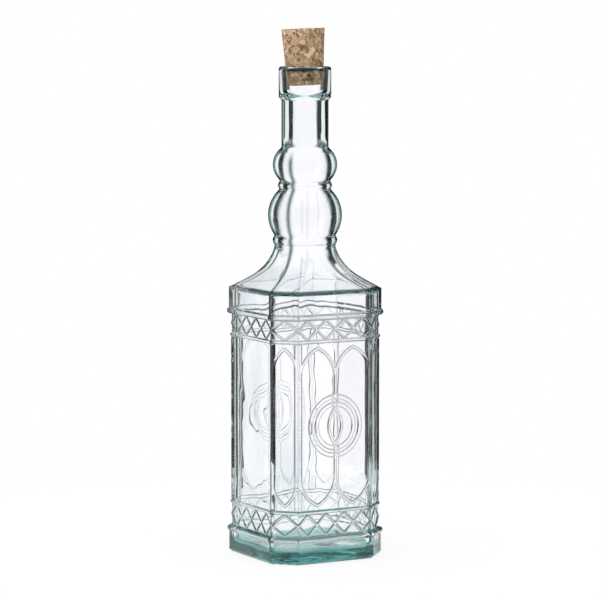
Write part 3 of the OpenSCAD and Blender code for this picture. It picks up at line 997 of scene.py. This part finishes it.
def glass_material():
    """Clear glass with painted shade where it turns edge on, on its lines and in mottled patches, and
    blue-green with painted shade in the thick foot.
    """
    material, tree, out = new_material("recycled_glass")
    facing = node(tree, "ShaderNodeLayerWeight", Blend=0.5)
    coords = node(tree, "ShaderNodeTexCoord")
    place = node(tree, "ShaderNodeSeparateXYZ")
    tree.links.new(coords.outputs["Object"], place.inputs["Vector"])
    height = place.outputs["Z"]

    # Painted shade where the glass turns edge on, partly for its longer path there: more from the
    # shoulder up, less from the lip up.
    neck = smooth_range(tree, height, (BAND_TOP + 9) * MM, SHOULDER_TOP * MM)
    lip = smooth_range(tree, height, (LIP_Z - 1.5) * MM, LIP_Z * MM)
    neck = maths(tree, "MULTIPLY_ADD", lip, -1.8, neck)
    turned = maths(tree, "MULTIPLY_ADD", neck, 0.27, facing.outputs["Facing"])
    edge_on_shade = mix_colour(tree, smooth_range(tree, turned, 0.75, 0.98), CLEAR, EDGE_ON_SHADE)
    # Painted shade on the lines stored in the mesh.
    painted_shade = node(tree, "ShaderNodeAttribute", attribute_name="painted_shade").outputs["Fac"]
    line_shaded = mix_colour(tree, painted_shade, CLEAR, LINE_SHADE_COLOUR)

    # Painted shade in soft upright streaks on the walls of the -X half, below the shoulder.
    stretched = node(tree, "ShaderNodeVectorMath", operation="MULTIPLY")
    stretched.inputs[1].default_value = (1.0, 1.0, 0.35)
    tree.links.new(coords.outputs["Object"], stretched.inputs[0])
    streaks = noise(tree, stretched.outputs["Vector"], 34.0, 1.0)
    walls = smooth_range(tree, height, SHOULDER_TOP * MM, BAND_TOP * MM)
    side = smooth_range(tree, place.outputs["X"], 0.0, -WIDE_HALF * MM)
    shade_patches = smooth_range(tree, streaks, 0.42, 0.68)
    shade_patches = maths(tree, "MULTIPLY", shade_patches, maths(tree, "MULTIPLY", walls, side))
    patch_shaded = mix_colour(tree, shade_patches, CLEAR, MOTTLED_SHADE)

    # Blue-green in the thick foot: partly the thick glass's own colour, partly painted shade for the
    # shaded floor under it.
    swirl = noise(tree, coords.outputs["Object"], 28.0)
    wavy = maths(tree, "ADD", height, maths(tree, "MULTIPLY_ADD", swirl, 0.006, -0.003))
    outer = maths(tree, "GREATER_THAN", painted_shade, -0.5)
    thick = maths(tree, "MULTIPLY", smooth_range(tree, wavy, 0.0105, 0.0075), outer)
    green = mix_colour(tree, thick, patch_shaded, FOOT_TINT_AND_SHADE)

    colour = mix_colour(tree, 1.0, mix_colour(tree, 1.0, edge_on_shade, line_shaded, "MULTIPLY"), green, "MULTIPLY")
    shader = node(tree, "ShaderNodeBsdfPrincipled", Roughness=0.0, IOR=1.5)
    shader.inputs["Transmission Weight"].default_value = 1.0
    shader.inputs["Specular IOR Level"].default_value = 0.22
    tree.links.new(colour, shader.inputs["Base Color"])
    tree.links.new(shader.outputs["BSDF"], out.inputs["Surface"])
    volume = node(tree, "ShaderNodeVolumeAbsorption", Color=THROUGH_TINT, Density=8.0)
    tree.links.new(volume.outputs["Volume"], out.inputs["Volume"])
    return material


def cork_material():
    """Pale and reddish granules with fine specks, dark in the grooves and pits between them."""
    material, tree, out = new_material("cork_granules")
    shade = node(tree, "ShaderNodeAttribute", attribute_name="shade").outputs["Fac"]
    dark = node(tree, "ShaderNodeAttribute", attribute_name="dark").outputs["Fac"]
    coords = node(tree, "ShaderNodeTexCoord")
    grain = noise(tree, coords.outputs["Object"], 900.0, 4.0)
    speck = maths(tree, "MULTIPLY", smooth_range(tree, grain, 0.52, 0.68), 0.55)
    colour = colour_ramp(tree, shade, GRANULE_COLOURS)
    colour = mix_colour(tree, speck, colour, SPECK_COLOUR)
    colour = mix_colour(tree, dark, colour, PIT_COLOUR)
    bump = node(tree, "ShaderNodeBump", Strength=0.5, Distance=0.0003)
    tree.links.new(grain, bump.inputs["Height"])
    shader = node(tree, "ShaderNodeBsdfPrincipled", Roughness=0.85)
    shader.inputs["Specular IOR Level"].default_value = 0.2
    tree.links.new(bump.outputs["Normal"], shader.inputs["Normal"])
    tree.links.new(colour, shader.inputs["Base Color"])
    tree.links.new(shader.outputs["BSDF"], out.inputs["Surface"])
    return material


# Studio

def studio_floor():
    """A pale floor that shows white and keeps the shadow. Glass sees it darker under its own foot, a
    painted shadow.
    """
    bpy.ops.mesh.primitive_circle_add(vertices=96, radius=FLOOR_R, fill_type="NGON")
    floor = bpy.context.object
    floor.name = "floor"
    floor.location = (0, 0, -FLOOR_DROP)
    material, tree, out = new_material("floor_white")
    path = node(tree, "ShaderNodeLightPath")
    coords = node(tree, "ShaderNodeTexCoord")
    away = node(tree, "ShaderNodeVectorMath", operation="LENGTH")
    tree.links.new(coords.outputs["Object"], away.inputs[0])
    # Painted shadow under the foot: glass sees the glow cut there, camera rays see it full.
    past_foot = smooth_range(tree, away.outputs["Value"], 0.034, 0.046)
    lit = maths(tree, "MULTIPLY_ADD", past_foot, 1 - UNDER_FOOT_SHADOW, UNDER_FOOT_SHADOW)
    lit = maths(tree, "MAXIMUM", lit, path.outputs["Is Camera Ray"])
    shaded = node(tree, "ShaderNodeBsdfDiffuse", Color=(0.2, 0.2, 0.2, 1))
    white = node(tree, "ShaderNodeEmission")
    tree.links.new(maths(tree, "MULTIPLY", lit, FLOOR_GLOW), white.inputs["Strength"])
    both = node(tree, "ShaderNodeAddShader")
    tree.links.new(shaded.outputs["BSDF"], both.inputs[0])
    tree.links.new(white.outputs["Emission"], both.inputs[1])
    plain = node(tree, "ShaderNodeBsdfDiffuse", Color=(0.8, 0.8, 0.8, 1))
    mix = node(tree, "ShaderNodeMixShader")
    tree.links.new(path.outputs["Is Diffuse Ray"], mix.inputs["Fac"])
    tree.links.new(both.outputs["Shader"], mix.inputs[1])
    tree.links.new(plain.outputs["BSDF"], mix.inputs[2])
    tree.links.new(mix.outputs["Shader"], out.inputs["Surface"])
    floor.data.materials.append(material)


def azimuth_ramp(tree, azimuth, stops):
    """Brightness by compass direction: stops of degrees from +Y towards +X, and a brightness."""
    colours = [(degrees / 360 + 0.5, (level, level, level, 1)) for degrees, level in stops]
    return colour_ramp(tree, azimuth, colours, "EASE")


def studio_world():
    """White behind the glass with dark flags beside it, as glass is photographed."""
    world = bpy.data.worlds.new("studio")
    bpy.context.scene.world = world
    world.use_nodes = True
    tree = world.node_tree
    tree.nodes.clear()
    out = node(tree, "ShaderNodeOutputWorld")
    path = node(tree, "ShaderNodeLightPath")
    coords = node(tree, "ShaderNodeTexCoord")
    parts = node(tree, "ShaderNodeSeparateXYZ")
    tree.links.new(coords.outputs["Generated"], parts.inputs["Vector"])
    around = maths(tree, "ARCTAN2", parts.outputs["X"], parts.outputs["Y"])
    turned = maths(tree, "MULTIPLY_ADD", around, 1 / TURN, 0.5)
    up = maths(tree, "MULTIPLY", maths(tree, "ARCSINE", parts.outputs["Z"]), 360 / TURN)
    low = smooth_range(tree, up, *LOW_DEGREES)
    steep = smooth_range(tree, up, *STEEP_DEGREES)
    ceiling = smooth_range(tree, up, *CEILING_DEGREES)

    views = [azimuth_ramp(tree, turned, row) for row in (NECK_VIEW, BODY_VIEW, STEEP_VIEW)]
    through = mix_colour(tree, low, views[0], views[1])
    through = mix_colour(tree, steep, through, views[2])
    through = mix_colour(tree, through, THROUGH_DARK, THROUGH_WHITE)

    bounces = [azimuth_ramp(tree, turned, row) for row in (OFF_NECK, OFF_BODY, OFF_OUTSIDE)]
    mirrored = maths(tree, "GREATER_THAN", path.outputs["Glossy Depth"], 0.5)
    outside = maths(tree, "LESS_THAN", path.outputs["Transmission Depth"], 0.5)
    outside = maths(tree, "MULTIPLY", outside, mirrored)
    seen = mix_colour(tree, mirrored, through, mix_colour(tree, low, bounces[0], bounces[1]))
    seen = mix_colour(tree, outside, seen, bounces[2])
    seen = mix_colour(tree, ceiling, seen, CEILING)

    side = node(tree, "ShaderNodeVectorMath", operation="DOT_PRODUCT")
    side.inputs[1].default_value = KEY_LIGHT
    tree.links.new(coords.outputs["Generated"], side.inputs[0])
    soft = maths(tree, "MULTIPLY_ADD", side.outputs["Value"], 0.5, 0.72)
    lit = maths(tree, "GREATER_THAN", path.outputs["Diffuse Depth"], 0.5)
    seen = mix_colour(tree, lit, seen, soft)
    seen = mix_colour(tree, path.outputs["Is Camera Ray"], seen, (1, 1, 1, 1))
    sky = node(tree, "ShaderNodeBackground")
    tree.links.new(seen, sky.inputs["Color"])
    tree.links.new(sky.outputs["Background"], out.inputs["Surface"])


def camera():
    """At the photograph's viewing angle, fitted to the bottle's outline."""
    data = bpy.data.cameras.new("camera")
    data.sensor_width = 36.0
    data.lens = CAMERA_LENS
    data.clip_start = 0.1
    cam = bpy.data.objects.new("camera", data)
    bpy.context.collection.objects.link(cam)
    x = -math.sin(CAMERA_ROUND) * CAMERA_AWAY
    y = -math.cos(CAMERA_ROUND) * CAMERA_AWAY
    cam.location = (x, y, CAMERA_HEIGHT)
    cam.rotation_euler = (math.pi / 2 - CAMERA_PITCH, 0, -CAMERA_ROUND + CAMERA_PAN)
    bpy.context.scene.camera = cam


camera()
studio_floor()
studio_world()

# Enough bounces for light to pass both walls and to run along them
scene = bpy.context.scene
scene.view_settings.view_transform = "Standard"
scene.cycles.max_bounces = 24
scene.cycles.transmission_bounces = 24
scene.cycles.glossy_bounces = 12

glass = build_bottle()
glass.data.materials.append(glass_material())
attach(glass, "bottle")
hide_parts("glass_bottle")

cork = build_cork()
cork.data.materials.append(cork_material())
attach(cork, "cork")
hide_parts("cork_stopper")
